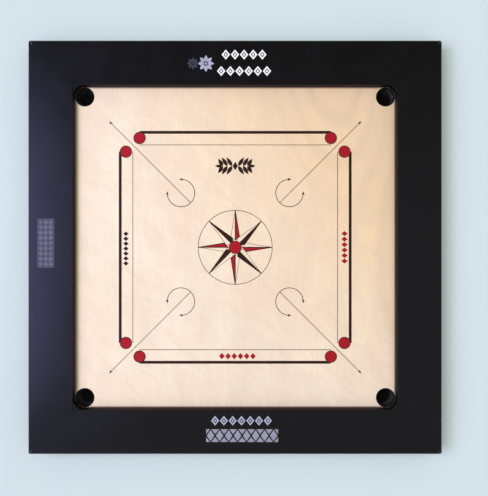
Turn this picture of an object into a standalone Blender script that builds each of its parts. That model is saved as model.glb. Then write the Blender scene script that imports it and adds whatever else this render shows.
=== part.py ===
"""Carrom board: a square plywood panel in a mitred hardwood frame, made of separate pieces.

Units are metres and +Z is up. The origin is the centre of the board, on the plane that the
underside of the frame rests on. The front of the board faces -Y. Pieces that come in fours are
made once, at the front or at the front right corner, and turned about the middle of the board.
"""

import math

import bmesh
import bpy
from mathutils import Matrix, Vector

# Driving dimensions of the board
PLAY_SIDE = 0.740  # clear square between the rails
RAIL_WIDTH = 0.1016
RAIL_HEIGHT = 0.0508
CUSHION_HEIGHT = 0.020  # how far the rails stand above the playing surface
PANEL_THICKNESS = 0.012
POCKET_RADIUS = 0.02225
FIT_GAP = 0.0003  # left between pieces that touch
NEAR = 1e-6  # points closer than this are the same point

# Rails
REBATE_WIDTH = 0.015  # how far the panel reaches under each rail
CORNER_RADIUS = 0.004
CORNER_STEPS = 6
OUTER_ROUND = 0.003
INNER_ROUND = 0.001
UNDER_ROUND = 0.0015

# Hidden key across each mitre
KEY_LENGTH = 0.040
KEY_WIDTH = 0.030
KEY_THICKNESS = 0.004
KEY_Z = 0.040

# Black fill in each inside corner, whose edge follows the pocket
BLOCK_LEAST_WIDTH = 0.0012
BLOCK_ROUND = 0.0005
BLOCK_STEPS = 10

# Strips that hold the panel up in the rebate
BEAD_WIDTH = 0.009
BEAD_HEIGHT = 0.006
BEAD_CHAMFER = 0.002

# Half-lapped grid of battens under the panel
BATTEN_WIDTH = 0.040
BATTEN_THICKNESS = 0.014
BATTEN_OFFSET = 0.130  # from the middle of the board to the middle of a batten
BATTEN_SEAT = 0.020  # how far a batten's end reaches into a rail
BATTEN_ROUND = 0.0015

# L-shaped steel plates let into the underside
PLATE_LEG = 0.090
PLATE_WIDTH = 0.018
PLATE_THICKNESS = 0.002
PLATE_ROUND = 0.004
PLATE_STEPS = 2
PLATE_HOLES = (0.030, 0.070)  # from the mitre, along each leg

# Countersunk wood screws, driven upwards
SCREW_HEAD_RADIUS = 0.0035
SCREW_HEAD_HEIGHT = 0.002
SCREW_SHANK_RADIUS = 0.0017
SCREW_TIP = 0.004
SCREW_SIDES = 10
SCREW_CLEAR_BELOW = 0.012  # how far a hole is open under the screw's head
PLATE_SCREW_LENGTH = 0.016
BATTEN_SCREW_LENGTH = 0.020
SCREW_SUNK = 0.0002  # below the face that the head is let into
RECESS_LENGTH = 0.0038
RECESS_WIDTH = 0.0009
RECESS_DEPTH = 0.0012

# Flanged ring glued under each pocket, and the net that hangs from it
RING_BORE = 0.0226
RING_COLLAR = 0.0238
RING_FLANGE = 0.0276
RING_FLANGE_THICKNESS = 0.0018
RING_HEIGHT = 0.0070
RING_LIP = 0.0004  # chamfer round the collar's lower edge
RING_SIDES = 28
POCKET_SIDES = 40
NET_THICKNESS = 0.0008
NET_MOUTH = 0.0258  # outer radius where the net is tied round the collar
NET_FLOOR = 0.0150  # radius at which the side turns into the bottom
NET_LOW_Z = 0.0020
NET_SIDES = 16
NET_STEPS = 4

# Places worked out from them
INNER = PLAY_SIDE / 2
OUTER = INNER + RAIL_WIDTH
SURFACE_Z = RAIL_HEIGHT - CUSHION_HEIGHT
PANEL_UNDER_Z = SURFACE_Z - PANEL_THICKNESS
LEDGE = INNER + REBATE_WIDTH  # inner face of the rails' lower part
PANEL_HALF = LEDGE - FIT_GAP
POCKET_CENTRE = INNER - POCKET_RADIUS
RAIL_MIDDLE = (INNER + OUTER) / 2
PLATE_LINE = (LEDGE + OUTER) / 2  # middle of the rails' underside
UNDER_TOP_Z = PANEL_UNDER_Z - FIT_GAP  # highest point of what is fixed under the panel
BATTEN_UNDER_Z = UNDER_TOP_Z - BATTEN_THICKNESS
BATTEN_END = LEDGE + BATTEN_SEAT - FIT_GAP
TONGUE_TOP_Z = UNDER_TOP_Z - BEAD_HEIGHT - FIT_GAP
BEAD_FACE = PANEL_HALF - BEAD_WIDTH
MITRE_SETBACK = FIT_GAP / math.sqrt(2)  # along X, for half the gap square to the mitre
CLEAR_OF_BOARD = OUTER * 2  # a distance from the middle that is well outside the board

SIDES = ("front", "right", "rear", "left")
CORNERS = ("front_right", "rear_right", "rear_left", "front_left")


def clear_scene():
    """Empties the scene, so that only the board is in it."""
    for thing in list(bpy.data.objects):
        bpy.data.objects.remove(thing, do_unlink=True)


def new_collection(name):
    """A collection linked to the scene."""
    group = bpy.data.collections.new(name)
    bpy.context.scene.collection.children.link(group)
    return group


clear_scene()
PARTS = new_collection("carrom_board")
CUTTERS = new_collection("cutters")


def paint(name, colour, roughness, metallic=0.0):
    """A Principled material of one colour."""
    material = bpy.data.materials.new(name)
    material.use_nodes = True
    shader = material.node_tree.nodes["Principled BSDF"]
    shader.inputs["Base Color"].default_value = (*colour, 1.0)
    shader.inputs["Roughness"].default_value = roughness
    shader.inputs["Metallic"].default_value = metallic
    return material


BLACK_LACQUER = paint("black_lacquer", (0.012, 0.012, 0.014), 0.35)
BIRCH_PLY = paint("birch_ply", (0.84, 0.72, 0.55), 0.30)
SOFTWOOD = paint("softwood", (0.62, 0.44, 0.25), 0.60)
HARDWOOD = paint("hardwood", (0.45, 0.28, 0.15), 0.55)
ZINC_STEEL = paint("zinc_steel", (0.62, 0.61, 0.58), 0.35, 1.0)
BLACK_PLASTIC = paint("black_plastic", (0.02, 0.02, 0.02), 0.45)
NET_CORD = paint("net_cord", (0.03, 0.03, 0.035), 0.85)


def mesh_from(bm, name):
    """Writes a bmesh to a new mesh with its faces pointing out, and frees it."""
    bmesh.ops.recalc_face_normals(bm, faces=bm.faces)
    mesh = bpy.data.meshes.new(name)
    bm.to_mesh(mesh)
    bm.free()
    return mesh


def place(name, mesh, material, location=(0, 0, 0), turn=0):
    """One piece of the board, turned by quarter turns about the middle of the board."""
    if not mesh.materials:
        mesh.materials.append(material)
    mesh.shade_smooth()
    mesh.set_sharp_from_angle(angle=math.radians(30))
    piece = bpy.data.objects.new(name, mesh)
    PARTS.objects.link(piece)
    angle = turn * math.pi / 2
    piece.location = Matrix.Rotation(angle, 3, "Z") @ Vector(location)
    piece.rotation_euler.z = angle
    return piece


def cutter(mesh, location=(0, 0, 0), spin=0.0):
    """A hidden object that Boolean modifiers cut with."""
    tool = bpy.data.objects.new("cutter_" + mesh.name, mesh)
    CUTTERS.objects.link(tool)
    tool.location = location
    tool.rotation_euler.z = spin
    tool.hide_render = True
    tool.display_type = "WIRE"
    return tool


def carved(mesh, tools):
    """The mesh with every tool cut out of it."""
    blank = bpy.data.objects.new("blank", mesh)
    CUTTERS.objects.link(blank)
    for tool in tools:
        cut = blank.modifiers.new("cut", "BOOLEAN")
        cut.operation = "DIFFERENCE"
        cut.solver = "EXACT"
        cut.object = tool
    graph = bpy.context.evaluated_depsgraph_get()
    result = bpy.data.meshes.new_from_object(blank.evaluated_get(graph))
    result.name = mesh.name
    bpy.data.objects.remove(blank)
    return result


def box(low, high):
    """A closed box between two corners, as a bmesh."""
    low, high = Vector(low), Vector(high)
    bm = bmesh.new()
    size = Matrix.Diagonal((*(high - low), 1))
    bmesh.ops.create_cube(bm, size=1.0, matrix=Matrix.Translation((low + high) / 2) @ size)
    return bm


def box_mesh(name, low, high):
    """The same box as a mesh."""
    return mesh_from(box(low, high), name)


def prism(outline, low, high):
    """A flat outline, given as (x, y) points, raised from z = low to z = high, as a bmesh."""
    curve = bpy.data.curves.new("outline", "CURVE")
    curve.dimensions = "2D"
    curve.fill_mode = "BOTH"
    curve.extrude = (high - low) / 2
    spline = curve.splines.new("POLY")
    spline.points.add(len(outline) - 1)
    for point, (x, y) in zip(spline.points, outline):
        point.co = (x, y, 0, 1)
    spline.use_cyclic_u = True
    source = bpy.data.objects.new("outline", curve)
    CUTTERS.objects.link(source)
    graph = bpy.context.evaluated_depsgraph_get()
    mesh = bpy.data.meshes.new_from_object(source.evaluated_get(graph))
    bpy.data.objects.remove(source)
    bm = bmesh.new()
    bm.from_mesh(mesh)
    bmesh.ops.translate(bm, verts=bm.verts, vec=(0, 0, (low + high) / 2))
    bmesh.ops.remove_doubles(bm, verts=bm.verts, dist=NEAR)
    bmesh.ops.recalc_face_normals(bm, faces=bm.faces)
    flat = math.radians(0.5)
    bmesh.ops.dissolve_limit(bm, angle_limit=flat, verts=bm.verts, edges=bm.edges)
    return bm


def round_edges(bm, wanted, width, segments):
    """Rounds the edges whose two ends both satisfy wanted(point)."""
    edges = [edge for edge in bm.edges if all(wanted(vert.co) for vert in edge.verts)]
    bmesh.ops.bevel(
        bm,
        geom=edges,
        offset=width,
        segments=segments,
        profile=0.5,
        affect="EDGES",
    )


def arc(centre, radius, start, end, steps):
    """Points along an arc, with angles in radians."""
    x, y = centre
    angles = [start + (end - start) * i / steps for i in range(steps + 1)]
    return [(x + radius * math.cos(angle), y + radius * math.sin(angle)) for angle in angles]


def turned(name, profile, sides, closed=False):
    """A profile of (radius, z) points, which runs down its outer side, turned about Z."""
    count = len(profile)
    edges = [(i, i + 1) for i in range(count - 1)]
    if closed:
        edges.append((count - 1, 0))
    line = bpy.data.meshes.new(name)
    line.from_pydata([(radius, 0, z) for radius, z in profile], edges, [])
    blank = bpy.data.objects.new(name, line)
    CUTTERS.objects.link(blank)
    screw = blank.modifiers.new("turn", "SCREW")
    screw.steps = sides
    screw.render_steps = sides
    screw.use_merge_vertices = True
    screw.merge_threshold = NEAR
    graph = bpy.context.evaluated_depsgraph_get()
    result = bpy.data.meshes.new_from_object(blank.evaluated_get(graph))
    result.name = name
    bpy.data.objects.remove(blank)
    return result


def on_level(z):
    """A test for points at one height."""
    return lambda point: abs(point.z - z) < NEAR


def make_screw(length):
    """A countersunk cross-head screw, with its head's flat face at z = 0 and its tip up."""
    head = SCREW_HEAD_RADIUS
    shank = SCREW_SHANK_RADIUS
    profile = [
        (0, length),
        (shank, length - SCREW_TIP),
        (shank, SCREW_HEAD_HEIGHT),
        (head, FIT_GAP),
        (head, 0),
        (0, 0),
    ]
    blank = turned("screw", profile, SCREW_SIDES)
    long, wide, deep = RECESS_LENGTH / 2, RECESS_WIDTH / 2, RECESS_DEPTH
    slots = [
        cutter(box_mesh("recess", (-long, -wide, -deep), (long, wide, deep)), spin=spin)
        for spin in (0, math.pi / 2)
    ]
    return carved(blank, slots)


def screw_hole(length):
    """The space that a screw needs in what it goes through."""
    head = SCREW_HEAD_RADIUS + FIT_GAP
    shank = SCREW_SHANK_RADIUS + FIT_GAP
    profile = [
        (0, length + FIT_GAP),
        (shank, length + FIT_GAP),
        (shank, SCREW_HEAD_HEIGHT),
        (head, FIT_GAP),
        (head, -SCREW_CLEAR_BELOW),
        (0, -SCREW_CLEAR_BELOW),
    ]
    return turned("screw_hole", profile, SCREW_SIDES)


PLATE_SCREW_Z = FIT_GAP + SCREW_SUNK
BATTEN_SCREW_Z = BATTEN_UNDER_Z + SCREW_SUNK
BATTEN_SCREW_LINE = LEDGE + BATTEN_SEAT / 2
PLATE_HOLE = screw_hole(PLATE_SCREW_LENGTH)
BATTEN_HOLE = screw_hole(BATTEN_SCREW_LENGTH)


def plate_screw_places():
    """Where the screws of the front right plate go: two in each of its rails."""
    front = [(PLATE_LINE - along, -PLATE_LINE, PLATE_SCREW_Z) for along in PLATE_HOLES]
    right = [(PLATE_LINE, along - PLATE_LINE, PLATE_SCREW_Z) for along in PLATE_HOLES]
    return front + right


def batten_screw_places():
    """Where the two batten screws of the front rail go."""
    return [(x, -BATTEN_SCREW_LINE, BATTEN_SCREW_Z) for x in (-BATTEN_OFFSET, BATTEN_OFFSET)]


def plate_outline(grow):
    """The front right plate from above, grown on every side by a clearance."""
    outer = PLATE_LINE + PLATE_WIDTH / 2 + grow
    inner = PLATE_LINE - PLATE_WIDTH / 2 - grow
    end = PLATE_LINE - PLATE_LEG - grow
    round_outer = PLATE_ROUND + grow
    round_inner = PLATE_ROUND - grow
    # Each corner's centre and radius, and the quarter turns at which its arc starts and ends
    corners = [
        ((end + round_outer, round_outer - outer), round_outer, 2, 3),
        ((outer - round_outer, round_outer - outer), round_outer, 3, 4),
        ((outer - round_outer, -end - round_outer), round_outer, 0, 1),
        ((inner + round_outer, -end - round_outer), round_outer, 1, 2),
        ((inner - round_inner, -inner + round_inner), round_inner, 0, -1),
        ((end + round_outer, -inner - round_outer), round_outer, 1, 2),
    ]
    quarter = math.pi / 2
    points = []
    for centre, radius, first, last in corners:
        points += arc(centre, radius, first * quarter, last * quarter, PLATE_STEPS)
    return points


def frame_blank():
    """The whole frame before it is cut up: a square block with rounded corners and eased edges."""
    middle = OUTER - CORNER_RADIUS
    quarter = math.pi / 2
    outline = []
    for turn, (x, y) in enumerate([(1, 1), (-1, 1), (-1, -1), (1, -1)]):
        centre = (x * middle, y * middle)
        outline += arc(centre, CORNER_RADIUS, turn * quarter, (turn + 1) * quarter, CORNER_STEPS)
    bm = prism(outline, 0, RAIL_HEIGHT)
    round_edges(bm, on_level(RAIL_HEIGHT), OUTER_ROUND, 3)
    round_edges(bm, on_level(0), UNDER_ROUND, 1)
    return mesh_from(bm, "rail")


def all_but_front():
    """What the front rail's mitres and the playing square take off the blank."""
    far = CLEAR_OF_BOARD
    inner = INNER - MITRE_SETBACK
    outline = [(inner, -INNER), (far - MITRE_SETBACK, -far), (far * 2, -far), (far * 2, far)]
    outline += [(-x, y) for x, y in reversed(outline)]
    return mesh_from(prism(outline, -RAIL_HEIGHT, RAIL_HEIGHT * 2), "rail_cut")


def key_box(grow):
    """The key of the front right mitre before it is turned across the mitre."""
    size = Vector((KEY_WIDTH, KEY_LENGTH, KEY_THICKNESS)) / 2 + Vector((grow, grow, grow))
    return box_mesh("mitre_key", -size, size)


def rail_cutters():
    """Everything that is cut out of the front rail."""
    wide = CLEAR_OF_BOARD
    rebate = box_mesh("rebate", (-wide, -LEDGE, -RAIL_HEIGHT), (wide, 0, SURFACE_Z + FIT_GAP))
    tools = [cutter(rebate)]
    half = BATTEN_WIDTH / 2 + FIT_GAP
    seat = box_mesh(
        "batten_seat",
        (-half, -LEDGE - BATTEN_SEAT, -RAIL_HEIGHT),
        (half, -INNER, TONGUE_TOP_Z + FIT_GAP),
    )
    tools += [cutter(seat, (x, 0, 0)) for x in (-BATTEN_OFFSET, BATTEN_OFFSET)]
    slot = key_box(FIT_GAP)
    depth = PLATE_THICKNESS + 2 * FIT_GAP
    mortise = mesh_from(prism(plate_outline(FIT_GAP), -depth, depth), "plate_mortise")
    for side in (1, -1):
        tools.append(cutter(slot, (side * RAIL_MIDDLE, -RAIL_MIDDLE, KEY_Z), side * math.pi / 4))
    tools += [cutter(mortise), cutter(mortise, spin=-math.pi / 2)]
    in_front = [spot for spot in plate_screw_places() if spot[1] == -PLATE_LINE]
    for x, y, z in in_front:
        tools += [cutter(PLATE_HOLE, (x, y, z)), cutter(PLATE_HOLE, (-x, y, z))]
    tools += [cutter(BATTEN_HOLE, spot) for spot in batten_screw_places()]
    return tools


def make_rail():
    """The front rail: mitred ends, eased edges, a rebate and the seats for its fixings."""
    bm = bmesh.new()
    bm.from_mesh(carved(frame_blank(), [cutter(all_but_front())]))
    top = on_level(RAIL_HEIGHT)
    round_edges(bm, lambda point: top(point) and abs(point.y + INNER) < NEAR, INNER_ROUND, 2)
    return carved(mesh_from(bm, "rail"), rail_cutters())


def make_panel():
    """The plywood sheet with its four pockets."""
    sheet = box_mesh(
        "play_panel",
        (-PANEL_HALF, -PANEL_HALF, PANEL_UNDER_Z),
        (PANEL_HALF, PANEL_HALF, SURFACE_Z),
    )
    bm = bmesh.new()
    bmesh.ops.create_cone(
        bm,
        cap_ends=True,
        segments=POCKET_SIDES,
        radius1=POCKET_RADIUS,
        radius2=POCKET_RADIUS,
        depth=RAIL_HEIGHT * 2,
    )
    hole = mesh_from(bm, "pocket")
    ways = (-POCKET_CENTRE, POCKET_CENTRE)
    return carved(sheet, [cutter(hole, (x, y, 0)) for x in ways for y in ways])


def make_corner_block():
    """The fill of the front right inside corner. It stops short of the pocket's thin ends."""
    reach = math.sqrt(POCKET_RADIUS**2 - (POCKET_RADIUS - BLOCK_LEAST_WIDTH) ** 2)
    lean = math.asin(reach / POCKET_RADIUS)
    near, far = INNER - FIT_GAP, POCKET_CENTRE + reach
    centre = (POCKET_CENTRE, -POCKET_CENTRE)
    curve = arc(centre, POCKET_RADIUS, -lean, lean - math.pi / 2, BLOCK_STEPS)
    outline = [(near, -near), (near, -far), *curve, (far, -near)]
    bm = prism(outline, SURFACE_Z + FIT_GAP, RAIL_HEIGHT)
    round_edges(bm, on_level(RAIL_HEIGHT), BLOCK_ROUND, 1)
    return mesh_from(bm, "pocket_corner_block")


def make_bead():
    """The front bead. Its right end stops short of the right bead, and its left end runs through."""
    bm = box(
        (-PANEL_HALF, -PANEL_HALF, UNDER_TOP_Z - BEAD_HEIGHT),
        (BEAD_FACE - FIT_GAP, -BEAD_FACE, UNDER_TOP_Z),
    )
    low = on_level(UNDER_TOP_Z - BEAD_HEIGHT)
    round_edges(bm, lambda point: low(point) and point.y > -BEAD_FACE - NEAR, BEAD_CHAMFER, 1)
    return mesh_from(bm, "panel_bead")


def make_batten(lap_on_top):
    """A batten along X in front of the middle, half lapped on its top or its underside."""
    half = BATTEN_WIDTH / 2
    low, high = BATTEN_UNDER_Z, UNDER_TOP_Z
    bm = box((-BATTEN_END, -BATTEN_OFFSET - half, low), (BATTEN_END, half - BATTEN_OFFSET, high))
    round_edges(bm, on_level(low), BATTEN_ROUND, 1)
    middle = (low + high) / 2
    if lap_on_top:
        lap_low, lap_high = middle - FIT_GAP / 2, RAIL_HEIGHT
    else:
        lap_low, lap_high = -RAIL_HEIGHT, middle + FIT_GAP / 2
    wide = half + FIT_GAP
    lap = box_mesh("lap", (-wide, -INNER, lap_low), (wide, 0, lap_high))
    end = box_mesh("end", (BEAD_FACE - FIT_GAP, -INNER, TONGUE_TOP_Z), (OUTER, INNER, RAIL_HEIGHT))
    tools = [cutter(lap, (x, 0, 0)) for x in (-BATTEN_OFFSET, BATTEN_OFFSET)]
    tools += [cutter(end), cutter(end, spin=math.pi)]
    for x in (-BATTEN_SCREW_LINE, BATTEN_SCREW_LINE):
        tools.append(cutter(BATTEN_HOLE, (x, -BATTEN_OFFSET, BATTEN_SCREW_Z)))
    return carved(mesh_from(bm, "batten"), tools)


def make_plate():
    """The front right corner plate, with its countersunk holes."""
    bm = prism(plate_outline(0), FIT_GAP, FIT_GAP + PLATE_THICKNESS)
    tools = [cutter(PLATE_HOLE, spot) for spot in plate_screw_places()]
    return carved(mesh_from(bm, "corner_plate"), tools)


def make_ring():
    """The ring under a pocket: a flange against the panel, and a collar that the net is tied on."""
    top, low = UNDER_TOP_Z, UNDER_TOP_Z - RING_HEIGHT
    flange = top - RING_FLANGE_THICKNESS
    profile = [
        (RING_BORE, top),
        (RING_FLANGE, top),
        (RING_FLANGE, flange),
        (RING_COLLAR, flange),
        (RING_COLLAR, low + RING_LIP),
        (RING_COLLAR - RING_LIP, low),
        (RING_BORE, low),
    ]
    return turned("pocket_ring", profile, RING_SIDES, closed=True)


def make_net():
    """A slack net, as a thin cup with the true outer shape of the knotted cords."""
    rim = UNDER_TOP_Z - RING_FLANGE_THICKNESS - 2 * FIT_GAP
    straight = RING_HEIGHT / 2  # how far the net runs down the collar before it slopes in
    outside = [(NET_MOUTH, rim)]
    for i in range(NET_STEPS + 1):
        turn = math.pi / 2 * i / NET_STEPS
        radius = NET_FLOOR + (NET_MOUTH - NET_FLOOR) * math.cos(turn)
        sag = (rim - straight - NET_LOW_Z) * math.sin(turn)
        outside.append((radius, rim - straight - sag))
    inside = []
    for radius, z in reversed(outside):
        upright = (radius - NET_FLOOR) / (NET_MOUTH - NET_FLOOR)
        raised = min(z + NET_THICKNESS * (1 - upright), rim)
        inside.append((radius - NET_THICKNESS * upright, raised))
    floor = [(0, NET_LOW_Z + NET_THICKNESS)]
    return turned("pocket_net", [*floor, *inside, *outside, (0, NET_LOW_Z)], NET_SIDES)


def build_board():
    """Makes each kind of piece once and puts its copies where they go."""
    place("play_panel", make_panel(), BIRCH_PLY)
    rail, bead = make_rail(), make_bead()
    for turn, side in enumerate(SIDES):
        place("rail_" + side, rail, BLACK_LACQUER, turn=turn)
        place("panel_bead_" + side, bead, SOFTWOOD, turn=turn)
    over, under = make_batten(True), make_batten(False)
    for turn, side in enumerate(SIDES):
        place("batten_" + side, over if turn % 2 else under, SOFTWOOD, turn=turn)
    fours = [
        ("mitre_key", key_box(0), HARDWOOD),
        ("pocket_corner_block", make_corner_block(), BLACK_LACQUER),
        ("corner_plate", make_plate(), ZINC_STEEL),
        ("pocket_ring", make_ring(), BLACK_PLASTIC),
        ("pocket_net", make_net(), NET_CORD),
    ]
    homes = {
        "mitre_key": (RAIL_MIDDLE, -RAIL_MIDDLE, KEY_Z),
        "pocket_ring": (POCKET_CENTRE, -POCKET_CENTRE, 0),
        "pocket_net": (POCKET_CENTRE, -POCKET_CENTRE, 0),
    }
    for name, mesh, material in fours:
        for turn, corner in enumerate(CORNERS):
            piece = place(f"{name}_{corner}", mesh, material, homes.get(name, (0, 0, 0)), turn)
            if name == "mitre_key":
                piece.rotation_euler.z += math.pi / 4
    plate_screw = make_screw(PLATE_SCREW_LENGTH)
    batten_screw = make_screw(BATTEN_SCREW_LENGTH)
    for turn, corner in enumerate(CORNERS):
        for number, spot in enumerate(plate_screw_places(), 1):
            place(f"plate_screw_{corner}_{number}", plate_screw, ZINC_STEEL, spot, turn)
    for turn, side in enumerate(SIDES):
        for number, spot in enumerate(batten_screw_places(), 1):
            place(f"batten_screw_{side}_{number}", batten_screw, ZINC_STEEL, spot, turn)


build_board()
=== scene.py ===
"""The looks of a carrom board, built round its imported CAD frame.

Units are metres and +Z is up. The board lies on z = 0 with its middle at x = y = 0, and its
front faces -Y. What comes in fours is made once, at the front or at the front right corner,
and turned about the middle of the board. Angles are in degrees, anticlockwise from +X.
"""

import math
import random

import bmesh
import bpy
from mathutils import Matrix, Vector


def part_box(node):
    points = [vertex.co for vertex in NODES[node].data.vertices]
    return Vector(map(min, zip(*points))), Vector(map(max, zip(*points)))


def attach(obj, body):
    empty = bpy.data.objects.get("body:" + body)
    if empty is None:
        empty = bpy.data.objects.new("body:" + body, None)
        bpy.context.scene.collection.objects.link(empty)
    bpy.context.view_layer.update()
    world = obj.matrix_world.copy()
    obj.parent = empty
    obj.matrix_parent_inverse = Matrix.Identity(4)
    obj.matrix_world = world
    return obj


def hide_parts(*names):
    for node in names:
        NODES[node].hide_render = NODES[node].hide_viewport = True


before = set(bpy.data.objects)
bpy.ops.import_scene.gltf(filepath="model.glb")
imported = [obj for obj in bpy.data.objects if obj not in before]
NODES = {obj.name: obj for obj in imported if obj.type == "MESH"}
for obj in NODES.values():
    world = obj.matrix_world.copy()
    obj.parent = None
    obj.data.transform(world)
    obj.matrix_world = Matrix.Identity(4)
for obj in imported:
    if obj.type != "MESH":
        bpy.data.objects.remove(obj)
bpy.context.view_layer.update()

SIDES = ("front", "right", "rear", "left")
CORNERS = ("front_right", "rear_right", "rear_left", "front_left")

# Places read from the frame
RAIL_LOW, RAIL_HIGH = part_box("rail_rear")
SURFACE_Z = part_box("play_panel")[1].z
RAIL_TOP_Z = RAIL_HIGH.z
INNER = RAIL_LOW.y  # from the middle of the board to a cushion
RAIL_MIDDLE = (RAIL_LOW.y + RAIL_HIGH.y) / 2
COLLAR_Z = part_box("pocket_ring_front_right")[0].z  # lower edge of the ring that holds a net
NET_LOW, NET_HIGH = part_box("pocket_net_front_right")
POCKET_CENTRE = (NET_LOW.x + NET_HIGH.x) / 2

# The printed marks, to the sizes of the game
INK = 0.00012  # how far the printing stands above the wood
RAIL_INK = 0.00006  # and above the lacquer
INK_ROOT = 0.00005  # how far it reaches into what it is printed on
LINE = 0.0013  # width of a thin line
BASE_EDGE = 0.2692  # from the middle of the board to the outer edge of a base line
BASE_THICK = 0.0066
BASE_THIN = 0.2368  # from the middle of the board to a thin base line
CIRCLE_RADIUS = 0.0142
CIRCLE_RING = 0.0017
CIRCLE_FILL = 0.0126
CIRCLE_ALONG = 0.2212  # from the middle of a side to the middle of its base circles
CIRCLE_ACROSS = 0.2528  # and from the middle of the board, across its base lines
CENTRE_RADIUS = 0.0862
DISC_RADIUS = 0.0152
DISC_RING = 0.0012
STAR_LINE = 0.0020  # width of the line round the inked half of a star's arm
STAR_FAINT = 0.0008  # and round its bare half
STAR_TIP = CENTRE_RADIUS - LINE
# A star arm's start, then its widest place and half its width there, then its tip
RED_ARM = (0.0165, 0.0250, 0.0098, STAR_TIP)
BLACK_ARM = (0.0040, 0.0200, 0.0106, STAR_TIP)
ARROW_OUTER = 0.2915  # along X and Y, to an arrow's tip
ARROW_TURN = 0.1255  # and to the middle of its curl
CURL_RADIUS = 0.03175
CURL_LINE = LINE * 1.2  # width of the line of an arrow's curl
HEAD_LENGTH = 0.0085
HEAD_WIDTH = 0.0065
HEAD_NOTCH = 0.75  # how far back its middle reaches, as a share of its length


# ---------------------------------------------------------------------------------- materials


class NodeTree:
    """A node tree being built. Each method adds nodes and gives back an output."""

    def __init__(self, tree):
        self.tree = tree

    def add(self, kind, **settings):
        node = self.tree.nodes.new(kind)
        for name, value in settings.items():
            setattr(node, name, value)
        return node

    def put(self, socket, value):
        """Links an output to a socket, or sets the socket's own value."""
        if isinstance(value, bpy.types.NodeSocket):
            self.tree.links.new(value, socket)
        else:
            socket.default_value = value

    def math(self, operation, first, second=0.0):
        node = self.add("ShaderNodeMath", operation=operation)
        self.put(node.inputs[0], first)
        self.put(node.inputs[1], second)
        return node.outputs[0]

    def parts(self, vector):
        """The X, Y and Z of a vector."""
        node = self.add("ShaderNodeSeparateXYZ")
        self.put(node.inputs[0], vector)
        return node.outputs

    def joined(self, x, y, z):
        node = self.add("ShaderNodeCombineXYZ")
        for socket, value in zip(node.inputs, (x, y, z)):
            self.put(socket, value)
        return node.outputs[0]

    def stretched(self, vector, by):
        node = self.add("ShaderNodeVectorMath", operation="MULTIPLY")
        self.put(node.inputs[0], vector)
        self.put(node.inputs[1], by)
        return node.outputs[0]

    def length(self, vector):
        node = self.add("ShaderNodeVectorMath", operation="LENGTH")
        self.put(node.inputs[0], vector)
        return node.outputs["Value"]

    def noise(self, vector, scale=1.0, detail=2.0, roughness=0.5, distortion=0.0):
        node = self.add("ShaderNodeTexNoise")
        self.put(node.inputs["Vector"], vector)
        self.put(node.inputs["Scale"], scale)
        self.put(node.inputs["Detail"], detail)
        self.put(node.inputs["Roughness"], roughness)
        self.put(node.inputs["Distortion"], distortion)
        return node.outputs[0]

    def spread(self, value, low, high, first=0.0, last=1.0, smooth=True):
        """A value from low to high, spread from first to last and held there."""
        node = self.add("ShaderNodeMapRange")
        node.interpolation_type = "SMOOTHSTEP" if smooth else "LINEAR"
        for socket, given in zip(node.inputs, (value, low, high, first, last)):
            self.put(socket, given)
        return node.outputs[0]

    def mix(self, factor, first, second, mode="MIX"):
        """Two colours mixed; each is an output or three numbers."""
        node = self.add("ShaderNodeMix", data_type="RGBA", blend_type=mode)
        sockets = [socket for socket in node.inputs if socket.enabled]
        for socket, value in zip(sockets, (factor, first, second)):
            self.put(socket, (*value, 1.0) if isinstance(value, tuple) else value)
        return [socket for socket in node.outputs if socket.enabled][0]


class Finish(NodeTree):
    """A Principled material being built."""

    def __init__(self, name):
        self.material = bpy.data.materials.new(name)
        self.material.use_nodes = True
        super().__init__(self.material.node_tree)
        self.shader = self.tree.nodes["Principled BSDF"]
        coordinates = self.add("ShaderNodeTexCoord")
        self.place = coordinates.outputs["Object"]
        self.facing = coordinates.outputs["Normal"]

    def sets(self, **values):
        """Sets inputs of the shader, such as base_color or roughness."""
        for name, value in values.items():
            title = name.replace("_", " ").title().replace("Ior", "IOR")
            self.put(self.shader.inputs[title], value)

    def bumps(self, *layers):
        """Height maps from 0 to 1, each with its depth in metres, on the shader's normal."""
        normal = None
        for height, depth in layers:
            node = self.add("ShaderNodeBump")
            self.put(node.inputs["Height"], height)
            self.put(node.inputs["Distance"], depth)
            if normal is not None:
                self.put(node.inputs["Normal"], normal)
            normal = node.outputs[0]
        self.put(self.shader.inputs["Normal"], normal)


def along_first(finish, direction):
    """The object's own coordinates with the grain direction, "x" or "y", put first."""
    x, y, z = finish.parts(finish.place)
    return (x, y, z) if direction == "x" else (y, x, z)


WOOD_PALE = (0.900, 0.755, 0.544)  # at the front left
WOOD_WARM = (0.936, 0.667, 0.364)  # at the rear right
WOOD_STREAK = (0.640, 0.410, 0.230)  # the darker growth lines
# A flame's middle, its squeeze along X and Y, its ring count and the reaches it fades between
REAR_FLAME = ((0.23, 0.62), (5.2, 1.5), 42.0, (1.15, 0.35))
RIGHT_FLAME = ((0.46, 0.02), (3.0, 1.3), 38.0, (0.75, 0.25))


def flame(finish, x, y, centre, squeeze, rings, fade):
    """Nested arcs of growth lines about a point, fading in from one reach to a nearer one."""
    ring_x = finish.math("MULTIPLY", finish.math("SUBTRACT", x, centre[0]), squeeze[0])
    ring_y = finish.math("MULTIPLY", finish.math("SUBTRACT", y, centre[1]), squeeze[1])
    reach = finish.length(finish.joined(ring_x, ring_y, 0.0))
    waves = finish.math("SINE", finish.math("MULTIPLY", reach, rings))
    return finish.math("MULTIPLY", finish.spread(waves, -0.2, 1.0), finish.spread(reach, *fade))


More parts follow.
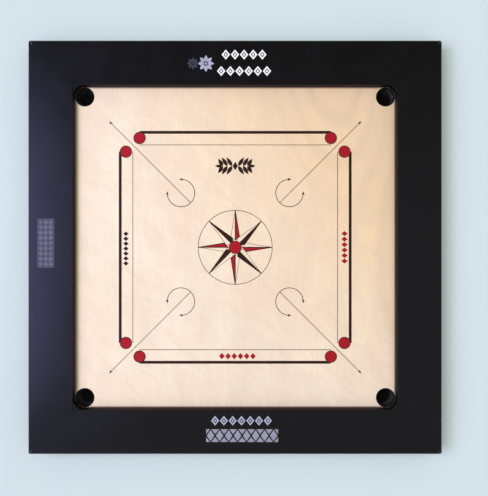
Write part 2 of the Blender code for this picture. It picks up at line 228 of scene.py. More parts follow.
def birch_veneer():
    """The polished plywood face: faint upright grain, soft flames and a warmer right side."""
    finish = Finish("birch_veneer")
    x, y, z = finish.parts(finish.place)
    wander = finish.noise(finish.stretched(finish.place, (3.0, 1.6, 3.0)), detail=2.0)
    drift = finish.math("MULTIPLY", finish.math("SUBTRACT", wander, 0.5), 0.12)
    across = finish.math("ADD", x, drift)
    grain_place = finish.joined(across, y, z)
    figure = finish.noise(finish.stretched(grain_place, (24.0, 2.2, 24.0)), detail=3.0)
    fibres = finish.noise(finish.stretched(grain_place, (620.0, 9.0, 620.0)), detail=2.0)
    blotches = finish.noise(finish.place, scale=7.0, detail=3.0, roughness=0.6)

    # Paler to the front left, warmer to the rear right
    slope = finish.math("ADD", x, finish.math("MULTIPLY", y, 0.8))
    slope = finish.math("ADD", slope, finish.math("MULTIPLY", blotches, 0.10))
    slope = finish.math("ADD", slope, finish.math("MULTIPLY", finish.math("MULTIPLY", x, y), 1.6))
    warmth = finish.spread(slope, -0.11, 0.46, smooth=False)
    colour = finish.mix(warmth, WOOD_PALE, WOOD_WARM)

    # One flame comes from beyond the rear right corner, one from beyond the right side
    rear = finish.math("MULTIPLY", flame(finish, across, y, *REAR_FLAME), 0.26)
    right = finish.math("MULTIPLY", flame(finish, across, y, *RIGHT_FLAME), 0.16)
    colour = finish.mix(finish.math("ADD", rear, right), colour, WOOD_STREAK)
    # Painted light: the right side is painted brighter to the front, where the key light falls
    # off; it is darker to the rear, where the veneer itself is darker
    tilt = finish.math("MULTIPLY", finish.math("MAXIMUM", x, 0.0), y)
    shade = finish.math("SUBTRACT", 1.0, finish.math("MULTIPLY", tilt, 0.75))
    colour = finish.mix(1.0, colour, finish.joined(shade, shade, shade), "MULTIPLY")

    # Mottles and a slanting curl, then the fibres and their pores
    mottle_place = finish.stretched(grain_place, (20.0, 9.0, 20.0))
    mottle = finish.noise(mottle_place, detail=3.0, roughness=0.6)
    colour = finish.mix(finish.spread(mottle, 0.35, 0.68, 0.0, 0.30), colour, (0.76, 0.57, 0.39))
    slant = finish.math("ADD", y, finish.math("MULTIPLY", x, 0.7))
    curl_place = finish.stretched(finish.joined(across, slant, z), (14.0, 27.0, 14.0))
    curl = finish.noise(curl_place, detail=3.0, roughness=0.6, distortion=1.2)
    colour = finish.mix(finish.spread(curl, 0.38, 0.66, 0.0, 0.28), colour, (0.76, 0.56, 0.37))
    colour = finish.mix(finish.spread(figure, 0.30, 0.72, 0.0, 0.26), colour, (0.80, 0.61, 0.44))
    fibre_tone = finish.spread(fibres, 0.35, 0.75, 0.0, 0.14)
    colour = finish.mix(fibre_tone, colour, (0.60, 0.42, 0.27))
    pores = finish.noise(finish.stretched(grain_place, (520.0, 46.0, 520.0)), detail=1.0)
    colour = finish.mix(finish.spread(pores, 0.66, 0.80, 0.0, 0.22), colour, (0.42, 0.27, 0.16))

    # Painted shade: a thin brown band along the cushions, and a wider painted shadow along the
    # left one
    far_x, far_y = finish.math("ABSOLUTE", x), finish.math("ABSOLUTE", y)
    painted_cushion_shade = finish.spread(finish.math("MAXIMUM", far_x, far_y), INNER - 0.0045, INNER)
    left_painted_shadow = finish.spread(x, -INNER + 0.0095, -INNER)
    painted_cushion_shade = finish.math("MAXIMUM", painted_cushion_shade, left_painted_shadow)
    colour = finish.mix(finish.math("MULTIPLY", painted_cushion_shade, 0.75), colour, (0.095, 0.036, 0.026))

    # The cut edges are plies under black stain, seen only in the pockets
    upright = finish.math("ABSOLUTE", finish.parts(finish.facing)[2])
    edge = finish.spread(upright, 0.7, 0.3)
    plies = finish.spread(finish.math("SINE", finish.math("MULTIPLY", z, 4200.0)), -0.3, 0.3)
    ply_tone = finish.mix(plies, (0.012, 0.010, 0.009), (0.030, 0.022, 0.016))
    finish.sets(base_color=finish.mix(edge, colour, ply_tone))
    finish.sets(roughness=finish.spread(blotches, 0.3, 0.7, 0.30, 0.40))
    finish.sets(coat_weight=0.15, coat_roughness=0.25)
    finish.bumps((fibres, 0.000012), (figure, 0.00005))
    return finish.material


def black_lacquer(direction):
    """Sprayed black lacquer over wood whose grain runs along "x" or "y"."""
    finish = Finish("black_lacquer_" + direction)
    along, across, z = along_first(finish, direction)
    here = finish.joined(along, across, z)
    grain = finish.noise(finish.stretched(here, (14.0, 460.0, 460.0)), detail=3.0)
    peel = finish.noise(finish.place, scale=330.0, detail=1.0)
    smudges = finish.noise(finish.place, scale=9.0, detail=5.0, roughness=0.65)
    dust = finish.noise(finish.place, scale=1500.0, detail=0.0)
    colour = finish.mix(grain, (0.0022, 0.0021, 0.0020), (0.0050, 0.0045, 0.0042))
    colour = finish.mix(finish.spread(dust, 0.74, 0.80, 0.0, 0.35), colour, (0.05, 0.05, 0.055))
    # Under the board the paint is thin and dull, and the wood shows through; the cushions are dull
    # and dark brown
    up = finish.parts(finish.facing)[2]
    below = finish.spread(up, -0.5, -0.9)
    thin = finish.mix(finish.spread(grain, 0.4, 0.7), (0.016, 0.012, 0.010), (0.060, 0.036, 0.022))
    colour = finish.mix(below, colour, thin)
    far = finish.math("MAXIMUM", finish.math("ABSOLUTE", along), finish.math("ABSOLUTE", across))
    cushion = finish.spread(far, INNER + 0.0040, INNER + 0.0010)
    cushion = finish.math("MULTIPLY", cushion, finish.spread(up, 0.6, 0.3))
    colour = finish.mix(cushion, colour, (0.022, 0.013, 0.010))
    # Black again round the pockets
    near = finish.math("MINIMUM", finish.math("ABSOLUTE", along), finish.math("ABSOLUTE", across))
    pocket = finish.math("MULTIPLY", finish.spread(near, INNER - 0.040, INNER - 0.025), cushion)
    colour = finish.mix(pocket, colour, (0.003, 0.003, 0.003))
    dull = finish.math("MAXIMUM", below, cushion)
    finish.sets(base_color=colour, specular_ior_level=finish.spread(dull, 0.0, 1.0, 0.5, 0.12))
    gloss = finish.spread(smudges, 0.25, 0.75, 0.20, 0.30)
    finish.sets(roughness=finish.math("ADD", gloss, finish.math("MULTIPLY", dull, 0.45)))
    finish.bumps((grain, 0.000016), (peel, 0.000010))
    return finish.material


def sawn_wood(name, direction, pale, dark, lines):
    """Planed timber with growth lines along "x" or "y" and a few darker streaks."""
    finish = Finish(f"{name}_{direction}")
    along, across, z = along_first(finish, direction)
    wander = finish.noise(finish.joined(along, across, z), scale=5.0, detail=2.0)
    bent = finish.math("ADD", across, finish.math("MULTIPLY", wander, 0.035))
    depth = finish.math("MULTIPLY", z, 0.6)
    rings = finish.math("SINE", finish.math("MULTIPLY", finish.math("ADD", bent, depth), lines))
    here = finish.joined(along, bent, z)
    fibres = finish.noise(finish.stretched(here, (12.0, 700.0, 700.0)), detail=2.0)
    streaks = finish.noise(finish.stretched(here, (3.0, 40.0, 40.0)), detail=3.0)
    colour = finish.mix(finish.spread(rings, -0.1, 1.0, 0.0, 0.75), pale, dark)
    colour = finish.mix(finish.spread(fibres, 0.3, 0.8, 0.0, 0.35), colour, dark)
    colour = finish.mix(finish.spread(streaks, 0.5, 0.8, 0.0, 0.4), colour, dark)
    finish.sets(base_color=colour, roughness=finish.spread(fibres, 0.2, 0.8, 0.55, 0.75))
    finish.bumps((fibres, 0.00005), (rings, 0.00002))
    return finish.material


def zinc_steel():
    """Zinc-plated steel: a patchy dull shine with fine rubbing marks."""
    finish = Finish("zinc_steel")
    patches = finish.noise(finish.place, scale=260.0, detail=4.0, roughness=0.6)
    scratches = finish.noise(finish.stretched(finish.place, (2600.0, 160.0, 900.0)), detail=2.0)
    tone = finish.mix(patches, (0.50, 0.49, 0.46), (0.72, 0.71, 0.69))
    stain = finish.spread(finish.noise(finish.place, scale=90.0, detail=3.0), 0.5, 0.8, 0.0, 0.5)
    finish.sets(base_color=finish.mix(stain, tone, (0.46, 0.41, 0.30)), metallic=1.0)
    finish.sets(roughness=finish.spread(patches, 0.3, 0.7, 0.28, 0.46))
    finish.bumps((patches, 0.00002), (scratches, 0.00001))
    return finish.material


def moulded_plastic():
    """Black moulded plastic with a fine spark-eroded skin."""
    finish = Finish("black_plastic")
    skin = finish.noise(finish.place, scale=1800.0, detail=2.0)
    cloud = finish.noise(finish.place, scale=60.0, detail=3.0)
    finish.sets(base_color=finish.mix(cloud, (0.012, 0.012, 0.013), (0.024, 0.024, 0.026)))
    finish.sets(roughness=finish.spread(skin, 0.3, 0.7, 0.40, 0.55))
    finish.bumps((skin, 0.00003))
    return finish.material


def net_cord():
    """Black twisted nylon cord, a little fluffy."""
    finish = Finish("net_cord")
    yarn = finish.noise(finish.place, scale=2600.0, detail=2.0)
    fade = finish.noise(finish.place, scale=120.0, detail=3.0)
    finish.sets(base_color=finish.mix(fade, (0.003, 0.003, 0.003), (0.008, 0.008, 0.008)))
    finish.sets(roughness=finish.spread(yarn, 0.3, 0.7, 0.75, 0.95), specular_ior_level=0.15)
    finish.bumps((yarn, 0.00012))
    return finish.material


def ink(name, colour, worn):
    """Screen-printing ink. The fibres beneath it show in its surface and thin it a little."""
    finish = Finish(name)
    fibres = finish.noise(finish.place, scale=900.0, detail=2.0)
    cloud = finish.noise(finish.place, scale=55.0, detail=4.0)
    thin = finish.math("MULTIPLY", finish.spread(fibres, 0.5, 0.85), 0.5)
    tone = finish.mix(finish.spread(cloud, 0.3, 0.8, 0.0, 0.4), colour, worn)
    finish.sets(base_color=finish.mix(thin, tone, worn))
    finish.sets(roughness=finish.spread(cloud, 0.3, 0.7, 0.40, 0.55), specular_ior_level=0.2)
    finish.bumps((fibres, 0.00001))
    return finish.material


VENEER = birch_veneer()
LACQUER = {direction: black_lacquer(direction) for direction in "xy"}
PINE = {
    direction: sawn_wood("softwood", direction, (0.66, 0.46, 0.25), (0.42, 0.24, 0.10), 1300.0)
    for direction in "xy"
}
BEECH = sawn_wood("hardwood", "x", (0.46, 0.29, 0.16), (0.30, 0.17, 0.08), 2400.0)
STEEL = zinc_steel()
PLASTIC = moulded_plastic()
CORD = net_cord()
BLACK_INK = ink("black_ink", (0.024, 0.008, 0.003), (0.045, 0.020, 0.010))
RED_INK = ink("red_ink", (0.370, 0.005, 0.012), (0.320, 0.014, 0.020))
WHITE_INK = ink("white_ink", (0.930, 0.900, 0.840), (0.820, 0.790, 0.740))
LILAC_INK = ink("lilac_ink", (0.420, 0.400, 0.500), (0.250, 0.235, 0.300))
SILVER_INK = ink("silver_ink", (0.430, 0.420, 0.500), (0.300, 0.290, 0.350))
STEEL_INK = ink("steel_ink", (0.305, 0.302, 0.350), (0.205, 0.202, 0.235))
SLATE_INK = ink("slate_ink", (0.048, 0.052, 0.070), (0.030, 0.032, 0.045))
HAZE_INK = ink("haze_ink", (0.068, 0.069, 0.096), (0.048, 0.049, 0.070))
FRET_INK = ink("fret_ink", (0.134, 0.134, 0.176), (0.088, 0.088, 0.118))


def coat(node, material):
    """Gives a CAD node its material."""
    slot = NODES[node].material_slots[0]
    slot.link = "OBJECT"
    slot.material = material


def coat_frame():
    """Coats every CAD node whose own mesh stays in view."""
    coat("play_panel", VENEER)
    for side in SIDES:
        direction = "x" if side in ("front", "rear") else "y"
        coat("rail_" + side, LACQUER[direction])
        coat("panel_bead_" + side, PINE[direction])
        coat("batten_" + side, PINE[direction])
        for number in (1, 2):
            coat(f"batten_screw_{side}_{number}", STEEL)
    for corner in CORNERS:
        coat("pocket_corner_block_" + corner, LACQUER["x"])
        coat("mitre_key_" + corner, BEECH)
        coat("corner_plate_" + corner, STEEL)
        coat("pocket_ring_" + corner, PLASTIC)
        for number in (1, 2, 3, 4):
            coat(f"plate_screw_{corner}_{number}", STEEL)


# --------------------------------------------------------------------------- building pieces


def new_piece(name, bm, material):
    """Turns a bmesh into a piece of the board, with the given material."""
    bmesh.ops.recalc_face_normals(bm, faces=bm.faces)
    mesh = bpy.data.meshes.new(name)
    bm.to_mesh(mesh)
    bm.free()
    mesh.materials.append(material)
    piece = bpy.data.objects.new(name, mesh)
    bpy.context.scene.collection.objects.link(piece)
    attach(piece, "root")


def arc(centre, radius, start, end, steps):
    """Points along an arc."""
    angles = [math.radians(start + (end - start) * i / steps) for i in range(steps + 1)]
    x, y = centre
    return [(x + radius * math.cos(angle), y + radius * math.sin(angle)) for angle in angles]


def turned(points, quarters):
    """Points turned about the middle of the board by quarter turns."""
    spin = Matrix.Rotation(quarters * math.pi / 2, 2)
    return [tuple(spin @ Vector(point)) for point in points]


def sides_of(points, width):
    """The two sides of a line of even width along some points."""
    left, right = [], []
    for i, point in enumerate(points):
        before = Vector(points[max(i - 1, 0)])
        after = Vector(points[min(i + 1, len(points) - 1)])
        way = (after - before).normalized()
        step = Vector((-way.y, way.x)) * width / 2
        left.append(tuple(Vector(point) + step))
        right.append(tuple(Vector(point) - step))
    return left, right


class Printing:
    """Flat marks that become one piece, a little proud of the surface they are on."""

    def __init__(self, name, surface, proud):
        self.name = name
        self.low = surface - INK_ROOT
        self.high = surface + proud
        self.bm = bmesh.new()

    def points(self, outline):
        return [self.bm.verts.new((x, y, self.low)) for x, y in outline]

    def fill(self, outline):
        """A simple outline, filled in."""
        self.bm.faces.new(self.points(outline))

    def strip(self, left, right, closed=False):
        """The band between two lines of as many points."""
        left, right = self.points(left), self.points(right)
        count = len(left)
        for i in range(count if closed else count - 1):
            j = (i + 1) % count
            self.bm.faces.new((left[i], left[j], right[j], right[i]))

    def line(self, start, end):
        self.curve([start, end], LINE)

    def curve(self, points, width):
        self.strip(*sides_of(points, width))

    def ring(self, centre, outer, inner, steps=72):
        """A closed ring between two radii."""
        whole = 360 - 360 / steps
        self.strip(
            arc(centre, outer, 0, whole, steps - 1),
            arc(centre, inner, 0, whole, steps - 1),
            closed=True,
        )

    def disc(self, centre, radius, steps=56):
        """A filled circle."""
        self.fill(arc(centre, radius, 0, 360 - 360 / steps, steps - 1))

    def arrow_head(self, tip, way):
        """A head whose tip points along a direction, with hollow barbs."""
        tip, way = Vector(tip), Vector(way).normalized()
        side = Vector((-way.y, way.x)) * HEAD_WIDTH / 2
        back = tip - way * HEAD_LENGTH
        notch = tip - way * HEAD_LENGTH * HEAD_NOTCH
        self.fill([tuple(tip), tuple(back + side), tuple(notch), tuple(back - side)])

    def done(self, material, slot):
        """Raises the marks to their thickness and makes the piece."""
        flat = list(self.bm.faces)
        raised = bmesh.ops.extrude_face_region(self.bm, geom=flat)["geom"]
        moved = [item for item in raised if isinstance(item, bmesh.types.BMVert)]
        bmesh.ops.translate(self.bm, verts=moved, vec=(0, 0, self.high - self.low))
        new_piece(self.name, self.bm, material)


def on_wood(name, level=1):
    """Printing on the playing surface; a second level lies over the first."""
    return Printing(name, SURFACE_Z, INK * level)


def on_rail(name, level=1):
    """Printing on top of the rails."""
    return Printing(name, RAIL_TOP_Z, RAIL_INK * level)


# ------------------------------------------------------------------------- the game's markings


FRONT_CIRCLES = ((-CIRCLE_ALONG, -CIRCLE_ACROSS), (CIRCLE_ALONG, -CIRCLE_ACROSS))


def base_line_outline():
    """The front base line. Each end follows the ring of the circle that it runs into."""
    outer, inner = -BASE_EDGE, BASE_THICK - BASE_EDGE
    radius = CIRCLE_RADIUS - CIRCLE_RING / 2
    last = -180 + math.degrees(math.asin((CIRCLE_ACROSS + inner) / -radius))
    right_end = arc(FRONT_CIRCLES[1], radius, -90, last, 10)
    right = [(CIRCLE_ALONG, outer), *right_end]
    left = [(-x, y) for x, y in reversed(right)]
    return right + left


def print_base_lines():
    marks = on_wood("print_base_lines")
    for turn in range(4):
        marks.fill(turned(base_line_outline(), turn))
        ends = [(-CIRCLE_ALONG, -BASE_THIN), (CIRCLE_ALONG, -BASE_THIN)]
        marks.line(*turned(ends, turn))
    marks.done(BLACK_INK, "black_ink")


def print_base_circles():
    rings = on_wood("print_base_rings", 1.2)
    fills = on_wood("print_base_circles", 1.4)
    for turn in range(4):
        for centre in turned(FRONT_CIRCLES, turn):
            rings.ring(centre, CIRCLE_RADIUS, CIRCLE_RADIUS - CIRCLE_RING)
            fills.disc(centre, CIRCLE_FILL)
    rings.done(BLACK_INK, "black_ink")
    fills.done(RED_INK, "red_ink")


def print_arrows():
    """Four diagonal arrows. Each runs in past its base circles to a curl open to its pocket."""
    marks = on_wood("print_arrows")
    middle = (ARROW_TURN, -ARROW_TURN)
    inside = ARROW_TURN - CURL_RADIUS / math.sqrt(2)
    curl = arc(middle, CURL_RADIUS, 0, 270, 48)
    for turn in range(4):
        start = turned([(ARROW_OUTER, -ARROW_OUTER)], turn)[0]
        way = turned([(1, -1)], turn)[0]
        marks.line(*turned([(ARROW_OUTER, -ARROW_OUTER), (inside, -inside)], turn))
        marks.arrow_head(start, way)
        marks.curve(turned(curl, turn), CURL_LINE)
        first, last = turned([curl[0], curl[-1]], turn)
        first_way, last_way = turned([(0, -1), (1, 0)], turn)
        for point, heading in ((first, first_way), (last, last_way)):
            tip = Vector(point) + Vector(heading) * HEAD_LENGTH / 2
            marks.arrow_head(tuple(tip), heading)
    marks.done(BLACK_INK, "black_ink")


def half_arm(base, shoulder, half_width, tip, side, angle):
    """One half of a star's arm: a kite split along its middle. side is 1 to the clockwise."""
    spin = Matrix.Rotation(math.radians(angle), 2)
    outline = [(base, 0), (shoulder, -side * half_width), (tip, 0)]
    return [tuple(spin @ Vector(point)) for point in outline]


def print_star():
    """Eight split arms in a circle round a red disc: red along the axes, black between."""
    circle = on_wood("print_centre_circle")
    circle.ring((0, 0), CENTRE_RADIUS, CENTRE_RADIUS - LINE, steps=144)
    circle.done(BLACK_INK, "black_ink")
    black = on_wood("print_star_black", 1.2)
    red = on_wood("print_star_red", 1.0)
    outlines = on_wood("print_star_outlines", 1.4)
    for quarter in range(4):
        straight, slanting = quarter * 90, quarter * 90 + 45
        red.fill(half_arm(*RED_ARM, 1, straight))
        black.fill(half_arm(*BLACK_ARM, 1, slanting))
        for arm, angle in ((RED_ARM, straight), (BLACK_ARM, slanting)):
            inked = half_arm(*arm, 1, angle)
            outlines.curve(inked, STAR_LINE)
            outlines.curve(inked[::2], STAR_LINE)
            outlines.curve(half_arm(*arm, -1, angle), STAR_FAINT)
    outlines.done(BLACK_INK, "black_ink")
    black.done(BLACK_INK, "black_ink")
    red.done(RED_INK, "red_ink")
    rim = on_wood("print_centre_rim", 1.7)
    rim.ring((0, 0), DISC_RADIUS, DISC_RADIUS - DISC_RING)
    rim.done(BLACK_INK, "black_ink")
    disc = on_wood("print_centre_disc", 1.7)
    disc.disc((0, 0), DISC_RADIUS - DISC_RING)
    disc.done(RED_INK, "red_ink")


# --------------------------------------------- plain ornaments, where the board had lettering


LEAF_STEPS = 7
LOZENGE_HALF = 0.46  # half a lozenge's length in its row, as a share of the pitch
LOZENGE_HOLE = 0.56  # the hole of a hollow lozenge, as a share of the lozenge
LOZENGE_CORE = 0.30  # and the small one inside it
SPRIG_MIDDLE = (0.0, 0.1880)
SPRIG_LIFT = 57  # angle between a leaf and the sprig's stem
# How far along the stem each pair of leaves grows, and their length
SPRIG_LEAVES = ((0.0070, 0.0240), (0.0180, 0.0235), (0.0285, 0.0200))
PETALS = 8


def leaf(base, angle, length, width):
    """A pointed leaf that grows from base."""
    spin = Matrix.Rotation(math.radians(angle), 2)
    along = [i / LEAF_STEPS for i in range(LEAF_STEPS + 1)]
    upper = [(length * t, width / 2 * math.sin(math.pi * t ** 0.8)) for t in along]
    lower = [(x, -y) for x, y in reversed(upper[1:-1])]
    return [tuple(Vector(base) + spin @ Vector(point)) for point in upper + lower]


def lozenge(centre, half_x, half_y):
    """The corners of a lozenge."""
    x, y = centre
    return [(x + half_x, y), (x, y + half_y), (x - half_x, y), (x, y - half_y)]


def lozenge_row(marks, centre, length, height, count, along="x", hollow=True):
    """A row of lozenges, solid or each with a smaller one inside."""
    pitch = length / count
    for i in range(count):
        offset = (i + 0.5) * pitch - length / 2
        x, y = centre
        spot = (x + offset, y) if along == "x" else (x, y + offset)
        halves = (pitch * LOZENGE_HALF, height / 2)
        if along == "y":
            halves = halves[::-1]
        if not hollow:
            marks.fill(lozenge(spot, *halves))
            continue
        inner = [half * LOZENGE_HOLE for half in halves]
        marks.strip(lozenge(spot, *halves), lozenge(spot, *inner), closed=True)
        marks.fill(lozenge(spot, *[half * LOZENGE_CORE for half in halves]))


def print_sprig():
    """A leafy sprig near the rear of the playing surface."""
    marks = on_wood("print_sprig")
    x, y = SPRIG_MIDDLE
    marks.fill(lozenge(SPRIG_MIDDLE, 0.0060, 0.0100))
    for side in (1, -1):
        for step, length in SPRIG_LEAVES:
            base = (x + side * step, y)
            for lift in (SPRIG_LIFT, -SPRIG_LIFT):
                angle = lift if side > 0 else 180 - lift
                marks.fill(leaf(base, angle, length, 0.0090))
        marks.fill(leaf((x + side * 0.0310, y), 0 if side > 0 else 180, 0.0160, 0.0070))
    marks.done(BLACK_INK, "black_ink")


def print_strip_ornaments():
    """Small lozenges between the base lines on three sides."""
    middle = CIRCLE_ACROSS
    left = on_wood("print_ornament_left")
    lozenge_row(left, (-middle, -0.003), 0.080, 0.0125, 7, along="y", hollow=False)
    left.done(BLACK_INK, "black_ink")
    right = on_wood("print_ornament_right")
    lozenge_row(right, (middle, 0.000), 0.076, 0.0150, 6, along="y", hollow=False)
    right.done(RED_INK, "red_ink")
    front = on_wood("print_ornament_front")
    lozenge_row(front, (0.005, -middle + 0.001), 0.086, 0.0150, 6, hollow=False)
    front.done(RED_INK, "red_ink")


def rosette(marks, middle, reach):
    """A flower of pointed petals round a small disc."""
    for step in range(PETALS):
        angle = step * 360 / PETALS
        base = arc(middle, reach * 0.22, angle, angle, 1)[0]
        marks.fill(leaf(base, angle, reach * 0.78, reach * 0.44))
    marks.disc(middle, reach * 0.15, 24)


def rear_rail_rosettes():
    """Two flowers side by side, the left one faint."""
    for name, x, reach, material in (
        ("bright", -0.0665, 0.0190, LILAC_INK),
        ("faint", -0.0960, 0.0140, SLATE_INK),
    ):
        marks = on_rail("rail_rosette_" + name)
        rosette(marks, (x, RAIL_MIDDLE - 0.002), reach)
        marks.done(material, "pale_ink")


def rear_rail_bands():
    for name, y, length, count in (("outer", 0.4390, 0.104, 5), ("inner", 0.4015, 0.125, 6)):
        marks = on_rail("rail_band_rear_" + name)
        lozenge_row(marks, (0.0205, y), length, 0.0226, count)
        marks.done(WHITE_INK, "pale_ink")


def front_rail_bands():
    """A row of lozenges over a taller row whose gaps are filled with triangles."""
    inner = on_rail("rail_band_front_inner")
    lozenge_row(inner, (0.0145, -0.3950), 0.140, 0.0220, 7)
    inner.done(SILVER_INK, "pale_ink")
    outer = on_rail("rail_band_front_outer")
    length, height, count = 0.164, 0.0290, 8
    pitch = length / count
    x, y = 0.0160, -0.4290
    rim = LINE * 1.3
    for i in range(count):
        middle = x + (i + 0.5) * pitch - length / 2
        outer.fill(lozenge((middle, y), pitch / 2 - rim, height / 2 - rim))
        for way in (1, -1):
            edge = y + way * height / 2
            for side in (-1, 1):
                corner, inward = middle + side * pitch / 2, middle + side * rim
                outer.fill([(corner, edge), (inward, edge), (corner, y + way * rim * 2)])
    outer.done(STEEL_INK, "pale_ink")


def left_rail_label():
    """A faint panel of fretwork on the left rail: lozenges on a dim ground."""
    x, y = -0.4315, 0.0095
    half_x, half_y = 0.0195, 0.0565
    ground = on_rail("rail_label_ground")
    corners = ((-1, -1), (1, -1), (1, 1), (-1, 1))
    ground.fill([(x + i * half_x, y + j * half_y) for i, j in corners])
    ground.done(HAZE_INK, "pale_ink")
    fret = on_rail("rail_label_fret", 2)
    for offset in (-0.0115, 0.0, 0.0115):
        lozenge_row(fret, (x + offset, y), 0.108, 0.0100, 9, along="y", hollow=False)
    fret.done(FRET_INK, "pale_ink")


# -------------------------------------------------------------------------------- pocket nets


CORD_SIDES = 6
NET_STRANDS = 44
NET_ROWS = 13
NET_CORD = 0.00062  # radius of the net's cord
NET_GATHER = 0.0055  # radius at which the cords are drawn together
NET_FLOOR = 0.0150  # radius at which the net turns in to lie flat
COLLAR_SHARE = 0.16  # how much of a cord lies along the collar
FLOOR_SHARE = 0.62  # and where along it the flat bottom starts
PLIES = 2
PLY_ORBIT = 0.55  # from the middle of a twisted cord to the middle of a ply, in cord radii
PLY_RADIUS = 0.52  # and the radius of the ply itself


def join_loops(bm, first, second):
    """The faces between two neighbouring loops of a cord."""
    for i in range(CORD_SIDES):
        j = (i + 1) % CORD_SIDES
        bm.faces.new((first[i], first[j], second[j], second[i]))


def tube(bm, points, radius):
    """A cord of short straight runs with closed ends, added to a bmesh."""
    loops = []
    for i, point in enumerate(points):
        before = points[max(i - 1, 0)]
        after = points[min(i + 1, len(points) - 1)]
        way = (after - before).normalized()
        turn = way.to_track_quat("Z", "Y")
        spots = []
        for side in range(CORD_SIDES):
            angle = math.tau * side / CORD_SIDES
            offset = turn @ Vector((math.cos(angle), math.sin(angle), 0)) * radius
            spots.append(bm.verts.new(point + offset))
        loops.append(spots)
    for first, second in zip(loops, loops[1:]):
        join_loops(bm, first, second)
    bm.faces.new(list(reversed(loops[0])))
    bm.faces.new(loops[-1])


def rope_ring(bm, radius, z, cord, turns=26, steps=208):
    """A closed ring of twisted plies about the Z axis."""
    up = Vector((0, 0, 1))
    for ply in range(PLIES):
        loops = []
        for step in range(steps):
            angle = math.tau * step / steps
            twist = angle * turns + math.tau * ply / PLIES
            outward = Vector((math.cos(angle), math.sin(angle), 0))
            centre = outward * (radius + cord * PLY_ORBIT * math.cos(twist))
            centre += up * (z + cord * PLY_ORBIT * math.sin(twist))
            spots = []
            for side in range(CORD_SIDES):
                around = math.tau * side / CORD_SIDES
                offset = outward * math.cos(around) + up * math.sin(around)
                spots.append(bm.verts.new(centre + offset * cord * PLY_RADIUS))
            loops.append(spots)
        for i in range(steps):
            join_loops(bm, loops[i], loops[(i + 1) % steps])


def net_point(row, angle):
    """A point on the slack net, row 0 at the rim and row NET_ROWS at the gather."""
    rim_z, low_z = NET_HIGH.z - 0.0018, NET_LOW.z + NET_CORD
    rim_radius = (NET_HIGH.x - NET_LOW.x) / 2 - NET_CORD - 0.0001
    share = row / NET_ROWS
    # Down the collar first, then in along a quarter of an ellipse, and flat to the gather
    if share < COLLAR_SHARE:
        radius = rim_radius
        z = rim_z + (COLLAR_Z - rim_z) * share / COLLAR_SHARE
    elif share < FLOOR_SHARE:
        turn = (share - COLLAR_SHARE) / (FLOOR_SHARE - COLLAR_SHARE) * math.pi / 2
        radius = NET_FLOOR + (rim_radius - NET_FLOOR) * math.cos(turn)
        z = low_z + (COLLAR_Z - low_z) * (1 - math.sin(turn))
    else:
        inward = (share - FLOOR_SHARE) / (1 - FLOOR_SHARE)
        radius = NET_FLOOR + (NET_GATHER - NET_FLOOR) * inward
        z = low_z
    return Vector((radius * math.cos(angle), radius * math.sin(angle), z))


def make_net_mesh():
    """A knotted diamond net gathered at the bottom and tied round the ring with a twisted cord."""
    rng = random.Random(7)
    pitch = math.tau / NET_STRANDS
    knots = {}
    for row in range(NET_ROWS + 1):
        for i in range(NET_STRANDS):
            slack = 0.0 if row in (0, NET_ROWS) else 1.0
            angle = (i + row / 2) * pitch + slack * rng.uniform(-0.07, 0.07) * pitch
            knots[row, i] = net_point(row + slack * rng.uniform(-0.08, 0.08), angle)
    bm = bmesh.new()
    for i in range(NET_STRANDS):
        for step in (0, -1):
            cord = [knots[row, (i + row * step) % NET_STRANDS] for row in range(NET_ROWS + 1)]
            tube(bm, cord, NET_CORD)
    for (row, _), spot in knots.items():
        if 0 < row < NET_ROWS - 1:
            made = bmesh.ops.create_icosphere(bm, subdivisions=1, radius=NET_CORD * 1.75)
            bmesh.ops.translate(bm, verts=made["verts"], vec=spot)
    rim = net_point(0, 0)
    rope_ring(bm, rim.x - 0.0001, rim.z + 0.0006, 0.0008)
    rope_ring(bm, NET_GATHER, NET_LOW.z + 0.0012, 0.0011, turns=9, steps=72)
    # A flat, lumpy knot closes the gather
    made = bmesh.ops.create_icosphere(bm, subdivisions=2, radius=NET_GATHER * 0.9)
    for vert in made["verts"]:
        x, y, z = vert.co
        lump = 1 + 0.08 * math.sin(5 * math.atan2(y, x))
        vert.co = (x * lump, y * lump, NET_LOW.z + 0.0016 + z * 0.26)
    bmesh.ops.recalc_face_normals(bm, faces=bm.faces)
    mesh = bpy.data.meshes.new("pocket_net")
    bm.to_mesh(mesh)
    bm.free()
    mesh.materials.append(CORD)
    mesh.shade_smooth()
    return mesh


def hang_nets():
    mesh = make_net_mesh()
    for turn, corner in enumerate(CORNERS):
        net = bpy.data.objects.new("knotted_net_" + corner, mesh)
        bpy.context.scene.collection.objects.link(net)
        spot = turned([(POCKET_CENTRE, -POCKET_CENTRE)], turn)[0]
        net.location = (*spot, 0)
        net.rotation_euler.z = turn * math.pi / 2
        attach(net, "root")
        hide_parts("pocket_net_" + corner)


# ------------------------------------------------------------------- floor, lights and camera


FLOOR_TONE = (0.695, 0.782, 0.742)
FLOOR_LEFT = (0.837, 0.832, 0.803)
FLOOR_RIGHT = (1.030, 1.022, 1.020)
SKY_LOW = (0.70, 0.775, 0.84)
SKY_TOP = (0.22, 0.22, 0.235)
SKY_LEFT = (0.28, 0.28, 0.36)
SKY_REAR = (0.02, 0.02, 0.01)
CAMERA_HEIGHT = 1.30  # above the top of the rails
CAMERA_X = 0.0203
CAMERA_Y = -0.0016
CAMERA_LENS = 41.42


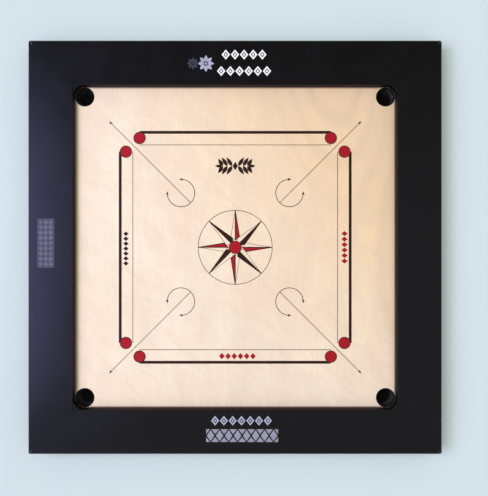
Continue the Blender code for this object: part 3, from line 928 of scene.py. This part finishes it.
def make_floor():
    """A wide sheet of pale paper just under the board."""
    bpy.ops.mesh.primitive_plane_add(size=16, location=(0, 0, -0.0002))
    floor = bpy.context.object
    floor.name = "floor"
    finish = Finish("floor")
    cloud = finish.noise(finish.place, scale=1.5, detail=2.0)
    dim = tuple(part * 0.985 for part in FLOOR_TONE)
    paper = finish.mix(cloud, dim, FLOOR_TONE)
    # A little darker and less blue on the side of the key and the window, so that it looks even
    side = finish.spread(finish.parts(finish.place)[0], -0.55, 0.55, smooth=False)
    paper = finish.mix(1.0, paper, finish.mix(side, FLOOR_LEFT, FLOOR_RIGHT), "MULTIPLY")
    # Far from the board it turns into a lit backdrop
    distance = finish.spread(finish.length(finish.place), 0.9, 2.6)
    finish.sets(base_color=finish.mix(distance, paper, (0.0, 0.0, 0.0)), roughness=0.9)
    finish.sets(emission_color=(*SKY_LOW, 1.0), emission_strength=distance)
    finish.sets(specular_ior_level=0.1)
    floor.data.materials.append(finish.material)


def make_sky():
    """A room that is pale at the floor's far edge and dim overhead, dimmest to the rear."""
    world = bpy.data.worlds.new("studio")
    bpy.context.scene.world = world
    world.use_nodes = True
    tree = NodeTree(world.node_tree)
    x, y, z = tree.parts(tree.add("ShaderNodeTexCoord").outputs["Generated"])
    left = tree.spread(x, -0.05, -0.35, smooth=False)
    rear = tree.spread(y, 0.10, 0.30, 0.0, 0.8, smooth=False)
    overhead = tree.mix(rear, tree.mix(left, SKY_TOP, SKY_LEFT), SKY_REAR)
    sky = tree.mix(tree.spread(z, 0.50, 0.84, smooth=False), SKY_LOW, overhead)
    tree.put(world.node_tree.nodes["Background"].inputs["Color"], sky)


def area_light(name, location, long, wide, power, colour, in_reflections):
    """A soft light that faces the middle of the board, its longer side along Y."""
    data = bpy.data.lights.new(name, "AREA")
    data.shape = "RECTANGLE"
    data.size, data.size_y = long, wide
    data.energy = power
    data.color = colour
    light = bpy.data.objects.new(name, data)
    bpy.context.scene.collection.objects.link(light)
    away = Vector(location).normalized()
    across = away.cross(Vector((0, 1, 0))).normalized()
    light.matrix_world = Matrix.Translation(location) @ Matrix(
        (across.cross(away) * -1, across, away)
    ).transposed().to_4x4()
    light.visible_camera = False
    light.visible_glossy = in_reflections


def make_lights():
    area_light("overhead", (0.3, 0.0, 2.6), 3.0, 3.0, 22, (1.0, 0.985, 0.96), False)
    area_light("key", (-1.15, 0.1, 2.2), 1.3, 1.1, 27, (1.0, 0.985, 0.96), False)
    area_light("window", (-1.92, -0.03, 2.3), 2.0, 1.2, 34, (0.42, 0.43, 1.0), True)


def make_camera():
    data = bpy.data.cameras.new("camera")
    data.lens = CAMERA_LENS
    data.sensor_width = 36
    camera = bpy.data.objects.new("camera", data)
    bpy.context.scene.collection.objects.link(camera)
    camera.location = (CAMERA_X, CAMERA_Y, RAIL_TOP_Z + CAMERA_HEIGHT)
    bpy.context.scene.camera = camera


coat_frame()
print_base_lines()
print_base_circles()
print_arrows()
print_star()
print_sprig()
print_strip_ornaments()
rear_rail_rosettes()
rear_rail_bands()
front_rail_bands()
left_rail_label()
hang_nets()
make_floor()
make_sky()
make_lights()
make_camera()
bpy.context.scene.view_settings.view_transform = "Standard"
